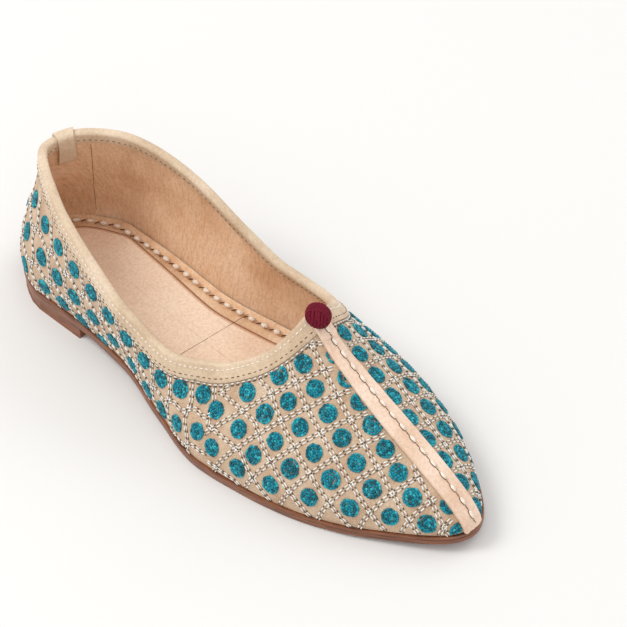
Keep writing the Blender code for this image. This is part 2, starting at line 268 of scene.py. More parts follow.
def upper_frame(around, rise):
    """Point, outward normal and upward direction on the upper."""
    reach = 2e-3
    along = upper_point(around + reach, rise) - upper_point(around - reach, rise)
    above, under = np.minimum(rise + reach, 1), np.maximum(rise - reach, 0)
    up = upper_point(around, above) - upper_point(around, under)
    return upper_point(around, rise), unit(np.cross(along, up)), unit(up)


def relief(around, rise):
    """Height of the creases, fading out at the sole and the rim."""
    total = np.zeros(np.broadcast(around, rise).shape)
    for place, level, wide, tall, turn, height in CREASES:
        a, r = (np.mod(around, 2) - place) / wide, (rise - level) / tall
        c, s = math.cos(math.radians(turn)), math.sin(math.radians(turn))
        total = total + height * np.exp(-((a * c + r * s) ** 2) - (r * c - a * s) ** 2)
    fade = ease(rise / 0.12) * ease((1 - rise) / 0.12)
    return total * fade * MM


def skin(around, rise, height=0.0):
    """Point at a height over the creased outer face."""
    point, normal, _ = upper_frame(around, rise)
    return point + normal * (relief(around, rise) + height)[..., None]


# Distances over the surface, measured once on a net of places.
NET_COLUMNS, NET_ROWS = 720, 140
TOE_COLUMN = NET_COLUMNS // 2
NET_AROUND = np.linspace(0, 2, NET_COLUMNS + 1)
NET_RISE = np.linspace(0, 1, NET_ROWS + 1)
NET = upper_point(*np.meshgrid(NET_AROUND, NET_RISE, indexing="ij"))
NET_STEP = np.linalg.norm(np.diff(NET, axis=1), axis=2)
NET_DROP = np.pad(np.cumsum(NET_STEP[:, ::-1], axis=1)[:, ::-1], ((0, 0), (0, 1)))
RIM_RUN = run_along(NET[:, -1])
CENTRE = NET[TOE_COLUMN]
CENTRE_RUN = NET_DROP[TOE_COLUMN]
NET_Y = NET[..., 1]
NET_CENTRE_X = np.interp(-NET_Y, -CENTRE[::-1, 1], CENTRE[::-1, 0])
NET_CENTRE_Z = np.interp(-NET_Y, -CENTRE[::-1, 1], CENTRE[::-1, 2])
NET_SIDE = np.sign(NET_AROUND - 1)[:, None]
NET_ACROSS = NET_SIDE * np.hypot(NET[..., 0] - NET_CENTRE_X, NET[..., 2] - NET_CENTRE_Z)
NET_AHEAD = np.interp(-NET_Y, -CENTRE[::-1, 1], CENTRE_RUN[::-1])
NET_AHEAD = np.where(NET_Y > CENTRE[-1, 1], CENTRE[-1, 1] - NET_Y, NET_AHEAD)


def drops_down(around):
    """Distances below the rim of the net's rows, at places between its columns."""
    spot = np.mod(around, 2) * TOE_COLUMN
    i = np.clip(spot.astype(int), 0, NET_COLUMNS - 1)
    part = (spot - i)[..., None]
    return NET_DROP[i] * (1 - part) + NET_DROP[i + 1] * part


def rise_at_drop(around, drop):
    """Rise of the places that lie the given distances below the rim."""
    column = drops_down(around)
    over = (column > drop[..., None]).sum(-1).clip(1, NET_ROWS)
    high = np.take_along_axis(column, over[..., None], -1)[..., 0]
    low = np.take_along_axis(column, over[..., None] - 1, -1)[..., 0]
    share = np.clip((low - drop) / np.maximum(low - high, 1e-9), 0, 1)
    return (over - 1 + share) / NET_ROWS


def drop_at(around, rise):
    """Distance of the places below the rim."""
    column = drops_down(around)
    j = np.clip((rise * NET_ROWS).astype(int), 0, NET_ROWS - 1)
    part = rise * NET_ROWS - j
    low, high = (np.take_along_axis(column, k[..., None], -1)[..., 0] for k in (j, j + 1))
    return low * (1 - part) + high * part


def around_from_toe(rise, distance):
    """Place that lies a signed distance from the vamp's centre line at one rise."""
    places = np.linspace(1, 1 + math.copysign(0.6, distance), 61)
    line = upper_point(places, np.full_like(places, rise))
    return float(np.interp(abs(distance), run_along(line), places))


# Making meshes.
def add_piece(name, mesh, looks, slot, *replaced):
    """Object that rides with the shoe, takes a finish, and may stand for a plain solid."""
    piece = bpy.data.objects.new(name, mesh)
    scene.collection.objects.link(piece)
    for look in looks:
        mesh.materials.append(look)
    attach(piece, "root")
    if replaced:
        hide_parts(*replaced)
    return piece


def mesh_from(work, name):
    """Finished mesh from a working one, which is freed."""
    mesh = bpy.data.meshes.new(name)
    work.to_mesh(mesh)
    work.free()
    return mesh


def moulded(
    name, columns, rows, place, looks, slot, *replaced, caps=False, second=None, marks=None,
):
    """Closed skin: a flat grid bent by place(s, t), with its meeting edges welded."""
    work = bmesh.new()
    bmesh.ops.create_grid(work, x_segments=columns, y_segments=rows, size=0.5)
    flat = np.array([v.co[:2] for v in work.verts]) + 0.5
    points = place(flat[:, 0], flat[:, 1])
    layer = work.verts.layers.float.new("edge") if marks else None
    values = marks(flat[:, 0], flat[:, 1]) if marks else None
    if second:
        for face in work.faces:
            middle = face.calc_center_median()
            face.material_index = int(second(middle.x + 0.5, middle.y + 0.5))
    for i, vertex in enumerate(work.verts):
        vertex.co = points[i]
        if marks:
            vertex[layer] = values[i]
    bmesh.ops.remove_doubles(work, verts=work.verts, dist=2e-6)
    if caps:
        rim = [edge for edge in work.edges if edge.is_boundary]
        bmesh.ops.holes_fill(work, edges=rim)
    bmesh.ops.recalc_face_normals(work, faces=work.faces)
    mesh = mesh_from(work, name)
    mesh.shade_smooth()
    mesh.set_sharp_from_angle(angle=math.radians(50))
    return add_piece(name, mesh, looks, slot, *replaced)


def stitches(name, points, along, normals, length, width, height, looks, slot, pick=None):
    """Many stitches, of sizes in millimetres, in one mesh: rounded beads along their thread."""
    work = bmesh.new()
    bmesh.ops.create_icosphere(work, subdivisions=1, radius=0.5)
    bead = np.array([v.co[:] for v in work.verts])
    faces = np.array([[v.index for v in f.verts] for f in work.faces])
    work.free()
    count = len(points)
    along = unit(along - normals * (along * normals).sum(1, keepdims=True))
    side = np.cross(normals, along)
    size = np.stack(np.broadcast_arrays(length, width, height, np.zeros(count))[:3], 1) * MM
    shaped = bead[None] * size[:, None, :]
    axes = np.stack([along, side, normals], 1)
    verts = points[:, None, :] + np.einsum("nvk,nkd->nvd", shaped, axes)
    joined = (faces[None] + np.arange(count)[:, None, None] * len(bead)).reshape(-1, 3)
    mesh = bpy.data.meshes.new(name)
    mesh.from_pydata(verts.reshape(-1, 3).tolist(), [], joined.tolist())
    if pick is not None:
        mesh.polygons.foreach_set("material_index", np.repeat(pick, len(faces)).astype(np.int32))
    mesh.shade_smooth()
    return add_piece(name, mesh, looks, slot)


def laid(line, run, at, length):
    """Stitch middles and directions at distances along a line."""
    half = length * MM / 2
    return at_runs(line, run, at), at_runs(line, run, at + half) - at_runs(line, run, at - half)


def spaced(line, pitch, length):
    """Stitch middles and directions evenly along a line; pitch and length are millimetres."""
    run, pitch = run_along(line), pitch * MM
    return laid(line, run, np.arange(pitch / 2, run[-1] - pitch / 2, pitch), length)


def seam(around, rise, pitch, length, height):
    """The same with their normals and places, along a line at a height over the upper."""
    line, pitch = skin(around, rise, height), pitch * MM
    run = run_along(line)
    at = np.arange(pitch / 2, run[-1], pitch)
    a, r = np.interp(at, run, around), np.interp(at, run, rise)
    return *laid(line, run, at, length), upper_frame(a, r)[1], a, r


# Finishes.
def paint(code):
    """Linear colour of an sRGB hex code."""
    parts = [int(code[i:i + 2], 16) / 255 for i in (1, 3, 5)]
    parts = [p / 12.92 if p <= 0.04045 else ((p + 0.055) / 1.055) ** 2.4 for p in parts]
    return (*parts, 1.0)


def add(tree, kind, links=None, **settings):
    """Node with its settings; links give an input's value or the socket that feeds it."""
    made = tree.nodes.new("ShaderNode" + kind)
    for key, value in settings.items():
        setattr(made, key, value)
    for key, value in (links or {}).items():
        socket = made.inputs[key]
        if isinstance(value, bpy.types.NodeSocket):
            tree.links.new(value, socket)
        else:
            socket.default_value = value
    return made


def start(name, roughness, **sockets):
    """New material with its shader's own values, and the object's coordinates."""
    look = bpy.data.materials.new(name)
    look.use_nodes = True
    tree = look.node_tree
    shader = tree.nodes["Principled BSDF"]
    shader.inputs["Roughness"].default_value = roughness
    for key, value in sockets.items():
        shader.inputs[key.replace("_", " ")].default_value = value
    where = add(tree, "TexCoord").outputs["Object"]
    return look, tree, shader, where


def ramp(tree, factor, stops):
    """Colours spread over a pattern, from its low to its high places."""
    made = add(tree, "ValToRGB", {"Fac": factor})
    points = made.color_ramp.elements
    while len(points) < len(stops):
        points.new(0.5)
    for point, (place, colour) in zip(points, stops):
        point.position = place
        point.color = paint(colour)
    return made.outputs["Color"]


def tint(tree, shader, factor, colour, pattern, stops):
    """Base colour darkened as far as the factor says by a second pattern's colours."""
    links = {0: factor, 6: colour, 7: ramp(tree, pattern, stops)}
    made = add(tree, "Mix", links, data_type="RGBA", blend_type="MULTIPLY").outputs[2]
    tree.links.new(made, shader.inputs["Base Color"])
    return made


def noise(tree, where, millimetres, detail=4.0, roughness=0.55):
    """Cloudy pattern whose features are about the given size."""
    links = {"Scale": 1 / (millimetres * MM), "Detail": detail, "Roughness": roughness}
    return add(tree, "TexNoise", {"Vector": where, **links}).outputs["Fac"]


def cells(tree, where, millimetres, irregular=1.0):
    """Distance from the middles of small cells of about the given size."""
    links = {"Vector": where, "Scale": 1 / (millimetres * MM), "Randomness": irregular}
    return add(tree, "TexVoronoi", links).outputs["Distance"]


def stretched(tree, where, scale, turn=(0, 0, 0)):
    """Coordinates turned and scaled, for a pattern with a grain."""
    return add(tree, "Mapping", {"Vector": where, "Rotation": turn, "Scale": scale}).outputs[0]


def bump(tree, shader, height, millimetres, strength=1.0, under=None):
    """Surface relief of a depth in millimetres, over the one beneath if there is one."""
    links = {"Height": height, "Distance": millimetres * MM, "Strength": strength}
    if under is not None:
        links["Normal"] = under
    made = add(tree, "Bump", links)
    tree.links.new(made.outputs["Normal"], shader.inputs["Normal"])
    return made.outputs["Normal"]


def leather(name, pale, base, deep, roughness, grain, mottle, coat=0.0):
    """Vegetable tanned leather: uneven dye, fine pores, soft low sheen."""
    look, tree, shader, where = start(name, roughness, Coat_Weight=coat, Coat_Roughness=0.35)
    shader.inputs["Specular IOR Level"].default_value = 0.4
    clouds = noise(tree, where, mottle, 5.0)
    colour = ramp(tree, clouds, [(0.30, deep), (0.50, base), (0.72, pale)])
    pores = noise(tree, where, 1.1, 3.0)
    colour = tint(tree, shader, 0.22, colour, pores, [(0.35, "#B08E70"), (0.60, "#FFFFFF")])
    low = bump(tree, shader, cells(tree, where, grain), 0.10, 0.5)
    bump(tree, shader, noise(tree, where, 3.0, 4.0), 0.22, 0.5, low)
    return look, tree, shader, where, colour


def thread(name, light, base, dark, roughness, twist, sheen=0.05):
    """Twisted thread: fine strands seen as streaks of light and dark."""
    look, tree, shader, where = start(name, roughness, Sheen_Weight=sheen)
    strands = noise(tree, where, twist, 2.0, 0.7)
    colour = ramp(tree, strands, [(0.30, dark), (0.50, base), (0.68, light)])
    tree.links.new(colour, shader.inputs["Base Color"])
    shader.inputs["Specular IOR Level"].default_value = 0.25
    bump(tree, shader, strands, 0.15, 0.9)
    return look


# Full-grain vegetable tanned leather, undyed: matt, warm beige, with fine pores.
trim_leather = leather(
    "vegetable_tanned_binding_leather", "#E2CDB4", "#D6BFA3", "#C4A98A", 0.52, 0.55, 22
)[0]

# The same leather from a paler, pinker part of the hide, with a smoother face.
strip_leather = leather(
    "vegetable_tanned_strip_leather", "#F4DECB", "#EDD1BA", "#DFBCA0", 0.46, 0.55, 22
)[0]

# Smooth tan sheepskin sock: satin, a little polished where it was pressed.
sock_leather, tree, shader, where, colour = leather(
    "sheepskin_sock_leather", "#FBE9D4", "#F8DFC6", "#EFCDAF", 0.42, 0.8, 60, 0.08
)
# Painted shadow: the sock darkens to brown over the last 2.5 mm to its edge, for the shade in the
# gap between sock and lining.
edge = add(tree, "Attribute", attribute_name="edge").outputs["Fac"]
tint(tree, shader, 0.9, colour, edge, [(0.0, "#6E4630"), (0.16, "#B98760"), (0.42, "#FFFFFF")])

# Insole board leather: drier, darker, drawn into small pleats by its stitches.
insole_leather = leather("insole_board_leather", "#F5D8B8", "#EAC5A0", "#D6AB84", 0.62, 0.6, 12)[0]

# Flesh-side lining leather: brushed nap with hair-like streaks and brown clouds.
lining_leather, tree, shader, where, colour = leather(
    "flesh_side_lining_leather", "#F5D9BD", "#EBC8A5", "#D6AB85", 0.70, 0.5, 30
)
streaks = noise(tree, stretched(tree, where, (1, 6, 1), (0.5, 0.2, 0.7)), 5.0, 6.0, 0.7)
stops = [(0.35, "#C79F7B"), (0.55, "#FFFFFF"), (0.75, "#F4E4D2")]
tint(tree, shader, 0.38, colour, streaks, stops)

# Waxed sole leather: reddish brown cut edge, burnished, with fibre lines along the layers.
sole_leather, tree, shader, where = start(
    "waxed_sole_leather", 0.42, Coat_Weight=0.15, Coat_Roughness=0.3
)
fibres = noise(tree, stretched(tree, where, (1, 1, 14)), 14.0, 6.0, 0.65)
stops = [(0.28, "#4E2A1A"), (0.48, "#77462C"), (0.66, "#935B3B"), (0.85, "#A8704B")]
tree.links.new(ramp(tree, fibres, stops), shader.inputs["Base Color"])
bump(tree, shader, fibres, 0.25, 0.7)

# Hand-loomed cotton ground: plain weave of about two threads a millimetre, drawn at 0.8 mm.
WEAVE = 0.8
ground_cloth, tree, shader, where = start("hand_loomed_cotton_ground", 0.88, Sheen_Weight=0.05)
weave = cells(tree, stretched(tree, where, (1, 1, 1.6), (0.6, 0.5, 0.4)), WEAVE, 0.55)
clouds = noise(tree, where, 7.0, 5.0)
colour = ramp(tree, clouds, [(0.30, "#C4A486"), (0.50, "#D3B79A"), (0.72, "#E0C9AE")])
tint(tree, shader, 0.35, colour, weave, [(0.15, "#FFFFFF"), (0.75, "#9C7B5A")])
bump(tree, shader, weave, -0.22, 0.8)

# Threads: silver-white rayon and a grey-brown copy of it that is painted shade for its shaded
# underside, teal and pale teal silk, crimson cotton.
silver_thread = thread("silver_white_rayon_thread", "#FFFFFF", "#EDE9E0", "#B9B1A4", 0.38, 0.5)
shade_thread = thread("silver_thread_painted_shade", "#7B725F", "#5A5144", "#3A332A", 0.7, 0.5)
teal_thread = thread("teal_silk_thread", "#109FAE", "#087F90", "#045363", 0.42, 0.6)
pale_teal_thread = thread("pale_teal_silk_thread", "#4FC4CC", "#1CA3AF", "#087C88", 0.36, 0.6)
deep_teal_thread = thread("deep_teal_silk_thread", "#0A7380", "#075864", "#063C48", 0.5, 0.6)
crimson_thread = thread("crimson_cotton_thread", "#92052C", "#66001D", "#2A000A", 0.7, 0.4, 0.0)
cream_thread = thread("waxed_cream_linen_thread", "#FBF3E8", "#F3E6D6", "#D9C4AC", 0.5, 0.7)
brown_thread = thread("brown_linen_thread", "#8E6748", "#6E4A30", "#4A2E1C", 0.7, 0.6)


# The upper and its lining.
# Shares of the way round the wall: the rim, the lining's top edge and the foot of the inner face
WALL_RIM, LINING_TOP, WALL_FOOT = 0.47, 0.485, 0.97
COUNTER_SEAM = (0.125, 1.85)
COUNTER_STEP = 0.45 * MM


def lining_depth(around):
    """The counter lining lies over the front lining, with a step at each seam."""
    place = np.mod(around, 2)
    over = np.where(place < 1, COUNTER_SEAM[0] - place, place - COUNTER_SEAM[1])
    return WALL + COUNTER_STEP * ease(over / 0.004 + 0.5)


def upper_wall(s, t):
    """Outer face up, rounded over the rim, inner face down, and across the feather edge."""
    around = 2 * s
    outside = skin(around, np.clip(t / WALL_RIM, 0, 1))
    inner = np.clip((WALL_FOOT - t) / WALL_RIM, 0, 1)
    point, normal, _ = upper_frame(around, inner)
    depth = relief(around, inner) - lining_depth(around) * ease(t / 0.5)
    inside = point + normal * depth[:, None]
    foot = sole_bottom(inside[:, 1]) + SOLE_THICK + 0.8 * FIT_GAP
    inside[:, 2] = np.maximum(inside[:, 2], foot)
    wall = np.where((t < WALL_RIM)[:, None], outside, inside)
    closed = (t > (1 + WALL_FOOT) / 2)[:, None]
    return np.where(closed, skin(around, np.zeros_like(around)), wall)


moulded(
    "upper_cloth_and_lining", 460, 92, upper_wall, [ground_cloth, lining_leather],
    "embroidered_cloth", "upper", second=lambda s, t: t > LINING_TOP,
)


# Binding, strap and strip.
# Shares of a folded leather: each face's length, and where its crown over the rim starts and ends
FOLD_FACE = 0.47
CROWN_FROM, CROWN_TO = 0.38, 0.62


def fold(around, t, outside, inside, thick, lift):
    """Leather folded over the rim: outer face over the crown for t < 0.5, then back below it."""
    t = np.where(t > 0.999, 0.0, t)
    back = t > 0.5
    way = np.where(back, (1 - t) / FOLD_FACE, t / FOLD_FACE).clip(0, 1)
    drop = np.where(way < CROWN_FROM, outside * (1 - way / CROWN_FROM), 0.0)
    drop = np.where(way > CROWN_TO, inside * (way - CROWN_TO) / (1 - CROWN_TO), drop)
    rise = rise_at_drop(around, drop)
    point, normal, up = upper_frame(around, rise)
    turn = np.pi * ((way - CROWN_FROM) / (CROWN_TO - CROWN_FROM)).clip(0, 1)
    edge = 1 - 0.5 * (ease(1 - way / 0.05) + ease((way - 0.95) / 0.05))
    reach = FIT_GAP + lift + np.where(back, 0.0, thick * edge)
    across = -WALL / 2 + (WALL / 2 + reach) * np.cos(turn) + relief(around, rise)
    over = 1.1 * reach * np.sin(turn)
    return point + normal * across[:, None] + up * over[:, None]


BINDING_PULLS = 74


def binding_place(s, t):
    """Binding, whose lower edge is pulled in a little at its stitches."""
    around = 2 * s
    point = fold(around, t, BINDING_DROP, BINDING_FOLD, BINDING_THICK, 0.0)
    pull = 0.10 * MM * np.sin(2 * math.pi * BINDING_PULLS * s) * dent(t, 0.03, 0.04)
    return point + upper_frame(around, np.ones_like(around))[1] * pull[:, None]


moulded(
    "topline_binding_leather", 520, 56, binding_place, [trim_leather], "trim_leather",
    "topline_binding",
)


def place_on_rim(distance):
    """Place at a distance along the rim from the middle of the heel."""
    return np.interp(np.mod(distance, RIM_RUN[-1]), RIM_RUN, NET_AROUND)


def strap_place(s, t):
    around = place_on_rim(-STRAP_SHIFT + (s - 0.5) * STRAP_WIDTH)
    return fold(around, t, STRAP_OUTSIDE, STRAP_INSIDE, STRAP_THICK, BINDING_THICK + FIT_GAP)


moulded(
    "back_strap_leather", 22, 80, strap_place, [trim_leather], "trim_leather", "back_strap",
    caps=True,
)


# Strip: width by STRIP_WIDTH at each rise, lowest rise, reach up, and its stitches' share across
STRIP_WIDTHS = np.array([(0.0, 0.84), (0.25, 0.96), (0.5, 1.0), (0.75, 0.82), (1.0, 0.52)])
STRIP_FOOT, STRIP_REACH = 0.012, 0.973
STRIP_STITCH_LINE = 0.05


def strip_half(rise):
    return 0.5 * STRIP_WIDTH * smooth(STRIP_WIDTHS, 1, rise)


def strip_cover(rise):
    """Lift of the strip: over the binding near the rim, on the cloth below it."""
    to_rim = np.interp(rise, NET_RISE, CENTRE_RUN)
    cover = 1 - ease((to_rim - BINDING_DROP - 3 * BINDING_THICK) / (3 * BINDING_THICK))
    return FIT_GAP + (BINDING_THICK + FIT_GAP) * cover


STRIP_RISES = np.linspace(STRIP_FOOT, STRIP_FOOT + STRIP_REACH, 120)
STRIP_SHARES = (-1.0, -0.66, -0.33, -0.05, 0.05, 0.33, 0.66, 1.0)
STRIP_LINES = np.array([
    [around_from_toe(r, share * h) for share in STRIP_SHARES]
    for r, h in zip(STRIP_RISES, strip_half(STRIP_RISES))
])


def strip_around(share, rise):
    """Place across the strip, from -1 at its outer edge to 1 at its inner edge."""
    columns = np.stack([np.interp(rise, STRIP_RISES, line) for line in STRIP_LINES.T], 1)
    spot = np.interp(share, STRIP_SHARES, np.arange(len(STRIP_SHARES)))
    i = np.clip(spot.astype(int), 0, len(STRIP_SHARES) - 2)
    rows = np.arange(len(share))
    return columns[rows, i] * (1 - spot + i) + columns[rows, i + 1] * (spot - i)


def strip_top(share, rise):
    """Height of the strip's face: a rolled outer edge, a flat middle, a thinned inner edge."""
    roll = STRIP_ROLL * dent(share, -0.78, 0.2)
    groove = -0.18 * MM * dent(share, STRIP_STITCH_LINE, 0.10)
    crown = 0.12 * MM * (1 - share**2)
    edge = np.where(np.abs(share) > 0.92, (1 - np.abs(share)) / 0.08, 1.0)
    thick = STRIP_THICK * (0.45 + 0.55 * np.sqrt(edge.clip(0, 1)))
    return strip_cover(rise) + thick + roll + groove + crown


def strip_place(s, t):
    rise = STRIP_FOOT + STRIP_REACH * t
    top = s < 0.5
    share = np.where(top, -1 + 4 * s, 3 - 4 * s)
    height = np.where(top, strip_top(share, rise), strip_cover(rise))
    return skin(strip_around(share, rise), rise, height)


moulded(
    "vamp_strip_leather", 60, 190, strip_place, [strip_leather], "trim_leather", "vamp_strip",
    caps=True,
)


# Sole.
# Section of the sole: share of the way over it, inset in mm, height by SOLE_THICK
SOLE_MIDDLE = 14.0
SOLE_PROFILE = np.array([
    (0.00, SOLE_MIDDLE, 0.00), (0.06, 0.9, 0.00), (0.12, 0.15, 0.08), (0.18, 0.0, 0.24),
    (0.40, 0.0, 0.60), (0.46, 0.25, 0.64), (0.52, 0.25, 0.70), (0.58, 0.0, 0.74),
    (0.76, 0.02, 0.88), (0.84, 0.35, 1.00), (1.00, SOLE_MIDDLE, 1.00),
])


def sole_place(s, t):
    """Edge of the sole with its groove, and the two faces that run to a line in its middle."""
    inset, height = (np.interp(t, SOLE_PROFILE[:, 0], SOLE_PROFILE[:, i]) for i in (1, 2))
    deep = inset > 2
    plan, _ = outline(2 * s, np.where(deep, 0.0, inset * MM - SOLE_LEDGE))
    share = np.where(deep, 1 - inset / SOLE_MIDDLE, 1.0)
    x = plan[:, 0] * share + TO_MIDDLE * 0.4 * (1 - share)
    return np.column_stack([x, plan[:, 1], sole_bottom(plan[:, 1]) + height * SOLE_THICK])


moulded("outsole_leather", 420, 50, sole_place, [sole_leather], "sole_leather", "outsole")
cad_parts["heel"].data.materials[0] = sole_leather


# Insole and sock.
def inside_edge(around, height):
    """Outline clear of the lining at one height over the underside."""
    rises = np.linspace(0, 0.3, 25)
    a, r = np.meshgrid(around, rises, indexing="ij")
    point, normal, _ = upper_frame(a, r)
    wall = point - normal * (WALL + FIT_GAP)
    over = wall[..., 2] - sole_bottom(wall[..., 1])
    return np.array([[np.interp(height, h, w[:, i]) for h, w in zip(over, wall)] for i in (0, 1)])


INSOLE_SEAT = SOLE_THICK + FIT_GAP
INSOLE_PLACES = np.linspace(0, 2, 401)
INSOLE_EDGE = inside_edge(INSOLE_PLACES, INSOLE_SEAT + 0.5 * INSOLE_THICK)
INSOLE_TOP = 0.7
INSOLE_PLEATS = 55
SPINE_X = 0.5 * TO_MIDDLE
SPINE_DRAW = 0.10


def pad_plan(edge, t, top):
    """Plan of a pad, in over its top face from its edge to a line in its middle and back below.

    Also gives the places below, and the distance in mm from the edge.
    """
    x, y = edge
    below = t > top + 1e-4
    share = np.where(below, (1 - t) / (1 - top), t / top).clip(0, 1)
    plan = np.column_stack([x * (1 - share) + SPINE_X * share, y * (1 - SPINE_DRAW * share)])
    inward = np.where(below, 0.0, share) * np.hypot(x - SPINE_X, SPINE_DRAW * y) / MM
    return plan, below, inward


def insole_edge(around):
    return [np.interp(around, INSOLE_PLACES, line) for line in INSOLE_EDGE]


def insole_place(s, t):
    """Insole: pleats and a dip along the stitches, and an edge that curls up the lining."""
    plan, below, inward = pad_plan(insole_edge(2 * s), t, INSOLE_TOP)
    pleat = np.sin(2 * s * math.pi * INSOLE_PLEATS) * 0.16 * dent(inward, 3.5, 2.5)
    dip = -0.35 * dent(inward, 4.2, 1.3)
    curl = 0.5 * np.exp(-inward / 1.2)
    top = INSOLE_THICK + np.minimum(pleat + dip + curl - 0.25, 0.25) * MM
    z = sole_bottom(plan[:, 1]) + INSOLE_SEAT + np.where(below, 0.0, top)
    return np.column_stack([plan, z])


moulded(
    "insole_margin_leather", 460, 60, insole_place, [insole_leather], "insole_leather", "insole"
)

SOCK_SEAT = INSOLE_SEAT + FIT_GAP + INSOLE_THICK
SOCK_INSET = WALL + FIT_GAP + SOCK_MARGIN
SOCK_SEAM_Y = 0.0230
SOCK_SEAM_SLOPE = 0.085
SOCK_TOP = 0.85
# Reach in mm of the painted shadow along the sock's edge.
SOCK_EDGE_SHADE_REACH = 6.0


def sock_edge(around):
    side, angle = split_around(around)
    plan, _ = outline(around)
    x = plan[:, 0] - side * SOCK_INSET * np.sin(angle)
    return x, plan[:, 1] * (1 - 2 * SOCK_INSET / SOLE_LENGTH)


def sock_place(s, t):
    """Sock: a rounded edge, a step at its joint, and hollows worn by the ball and the heel."""
    plan, below, inward = pad_plan(sock_edge(2 * s), t, SOCK_TOP)
    x, y = plan.T
    seam_y = (y - SOCK_SEAM_Y + SOCK_SEAM_SLOPE * x) / MM
    step = 0.18 * np.tanh(seam_y / 0.8) * dent(seam_y, 0, 9.0) * ease(inward / 3)
    ball = -0.21 * dent(y, -0.045, 0.03) * dent(x, 0, 0.02)
    heel = -0.21 * dent(y, 0.075, 0.025) * dent(x, 0, 0.016)
    top = (0.35 + 0.7 * ease(inward / 1.4) + step + ball + heel) * MM
    return np.column_stack([plan, sole_bottom(y) + SOCK_SEAT + np.where(below, 0.0, top)])


moulded(
    "sock_lining_leather", 460, 100, sock_place, [sock_leather], "sock_leather", "sock_lining",
    marks=lambda s, t: pad_plan(sock_edge(2 * s), t, SOCK_TOP)[2] / SOCK_EDGE_SHADE_REACH,
)


def margin_line(inset):
    """Line on the insole's margin at one distance from its edge."""
    x, y = insole_edge(np.linspace(0, 2, 801))
    along = unit(np.column_stack([np.gradient(x), np.gradient(y)]))
    x, y = x - along[:, 1] * inset, y + along[:, 0] * inset
    return np.column_stack([x, y, sole_bottom(y) + INSOLE_SEAT + INSOLE_THICK])


# Oval cream stitches down the middle of the margin, with a dark slit after each one.
spots, along = spaced(margin_line(4.3 * MM), 6.3, 2)
up_normals = np.tile([0.0, 0.0, 1.0], (len(spots), 1))
wobble = np.random.default_rng(4)
spots = spots + wobble.normal(0, 0.12 * MM, spots.shape) * [1, 1, 0] + [0, 0, 1.0 * MM]
stitches(
    "insole_stitches", spots, along, up_normals,
    wobble.uniform(3.7, 4.3, len(spots)), wobble.uniform(2.5, 3.0, len(spots)), 1.5,
    [cream_thread], "insole_leather",
)
middles = spots + along * 1.55
turned = along + np.cross(up_normals, along) * 0.9
stitches(
    "insole_slits", middles - [0, 0, 0.6 * MM], turned, up_normals, 2.9, 0.8, 0.7,
    [brown_thread], "insole_leather",
)


# Thin dark line of the joint across the sock.
across = np.linspace(-0.0215, 0.0255, 60)
ahead = SOCK_SEAM_Y - SOCK_SEAM_SLOPE * across
line = np.column_stack([across, ahead, sole_bottom(ahead) + SOCK_SEAT + 1.02 * MM])
spots, along = spaced(line, 1.1, 1.0)
up_normals = np.tile([0.0, 0.0, 1.0], (len(spots), 1))
stitches(
    "sock_joint", spots, along, up_normals, 1.7, 0.30, 0.16,
    [brown_thread], "sock_leather",
)


# Embroidery.
chance = np.random.default_rng(11)
VAMP_COLUMNS = slice(190, 531)
ZONES = [(zone, side) for zone in ("vamp", "quarter") for side in (-1, 1)]
ZONE_BORDER = 0.565


def spot_on_vamp(across, ahead):
    """Place (around, rise) at a distance across from the centre line and ahead from the throat."""
    a_net = NET_AROUND[VAMP_COLUMNS]
    across_net, ahead_net = NET_ACROSS[VAMP_COLUMNS], NET_AHEAD[VAMP_COLUMNS]
    found = [
        np.argmin((across_net - u) ** 2 + (ahead_net - v) ** 2) for u, v in zip(across, ahead)
    ]
    i, j = np.divmod(found, across_net.shape[1])
    i, j = np.clip(i, 1, len(a_net) - 2), np.clip(j, 1, NET_ROWS - 1)
    du_a = (across_net[i + 1, j] - across_net[i - 1, j]) / 2
    du_r = (across_net[i, j + 1] - across_net[i, j - 1]) / 2
    dv_a = (ahead_net[i + 1, j] - ahead_net[i - 1, j]) / 2
    dv_r = (ahead_net[i, j + 1] - ahead_net[i, j - 1]) / 2
    u, v = across - across_net[i, j], ahead - ahead_net[i, j]
    det = du_a * dv_r - du_r * dv_a
    det = np.where(np.abs(det) < 1e-10, 1e-10, det)
    step_a = np.clip((u * dv_r - v * du_r) / det, -1, 1)
    step_r = np.clip((v * du_a - u * dv_a) / det, -1, 1)
    around, rise = a_net[i] + step_a / TOE_COLUMN, np.clip((j + step_r) / NET_ROWS, 0, 1)
    return around, rise, np.hypot(u, v) < 1.2 * MM


def vamp_cell(side, c, k):
    """Across and ahead in mm of a place in the vamp's lattice; columns c start at the strip."""
    if side < 0:
        return -(1.7 + 12.8 * c + (2.0 - 0.2 * c) * k), 17.6 - 8.9 * c + (9.8 + 0.8 * c) * k
    return 9.0 + 14.3 * c - (0.4 + 0.4 * c) * k, 11.2 - 3.4 * c + (10.6 + 0.3 * c) * k


def around_at_run(run, side):
    """Place at a distance along the rim from the middle of the heel, round one of the sides."""
    if side < 0:
        return np.interp(run, RIM_RUN, NET_AROUND)
    return 2 - np.interp(run, RIM_RUN[-1] - RIM_RUN[::-1], NET_AROUND)


def quarter_cell(side, c, k):
    """Place and drop of a cell in the quarter's lattice, whose rows c follow the binding."""
    k = k + 0.2 * c
    run = (17 + 15.6 * k - 0.3 * k * k) * MM
    drop = (12.6 + 1.5 * np.clip(4.5 - k, 0, 4) + 15.0 * c) * MM
    return around_at_run(run, side), drop


